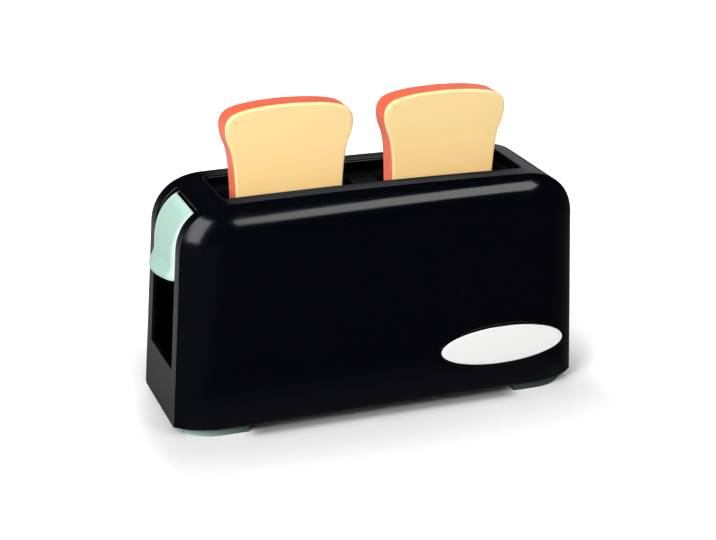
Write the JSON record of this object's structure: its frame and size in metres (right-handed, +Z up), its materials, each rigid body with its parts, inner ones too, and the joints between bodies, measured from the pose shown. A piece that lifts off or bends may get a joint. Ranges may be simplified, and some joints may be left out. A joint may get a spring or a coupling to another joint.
{
  "type": "toy toaster",
  "caption": "Black toy two-slice toaster with a sprung mint lever, a bare white oval badge, mint feet and lift-out play bread slices.",
  "frame": {"origin": "middle of the whole toy's footprint, on the floor under its feet", "axes": "+X along the long side, away from the lever; +Y from the badge side to the back; +Z up"},
  "size_m": [0.187, 0.0636, 0.1342],
  "materials": {
    "casing_black": "high gloss moulding",
    "inner_dark": "matt moulding",
    "mint": "soft gloss moulding",
    "badge_white": "soft gloss moulding",
    "bread_cream": "satin moulding",
    "crust_orange": "satin moulding",
    "steel": "dark plated wire and screws"
  },
  "bodies": {
    "casing": {"casing": "casing_black", "badge": "badge_white", "base_plate": "inner_dark", "foot_left": "mint", "foot_right": "mint", "slot_guide": "inner_dark", "guide_rod_left": "steel", "guide_rod_right": "steel", "rod_cap_left": "inner_dark", "rod_cap_right": "inner_dark", "return_spring_left": "steel", "return_spring_right": "steel", "base_screw_1": "steel", "base_screw_2": "steel", "base_screw_3": "steel", "base_screw_4": "steel", "guide_screw_1": "steel", "guide_screw_2": "steel", "guide_screw_3": "steel", "guide_screw_4": "steel"},
    "lift": {"lift_carriage": "inner_dark", "thumb_lever": "mint", "lever_screw_1": "steel", "lever_screw_2": "steel"},
    "slice_left": {"slice_left_back": "crust_orange", "slice_left_face": "bread_cream"},
    "slice_right": {"slice_right_back": "crust_orange", "slice_right_face": "bread_cream"}
  },
  "joints": [
    {"name": "lift_slide", "type": "slide", "parent": "casing", "child": "lift", "axis": [0, 0, -1], "range_m": [0, 0.0375], "stiffness_N_per_m": 60, "springref_m": -0.02, "deforming": ["return_spring_left", "return_spring_right"]},
    {"name": "slice_left_lift", "type": "slide", "parent": "lift", "child": "slice_left", "axis": [0, 0, 1], "range_m": [0, 0.045]},
    {"name": "slice_right_lift", "type": "slide", "parent": "lift", "child": "slice_right", "axis": [0, 0, 1], "range_m": [0, 0.045]}
  ]
}
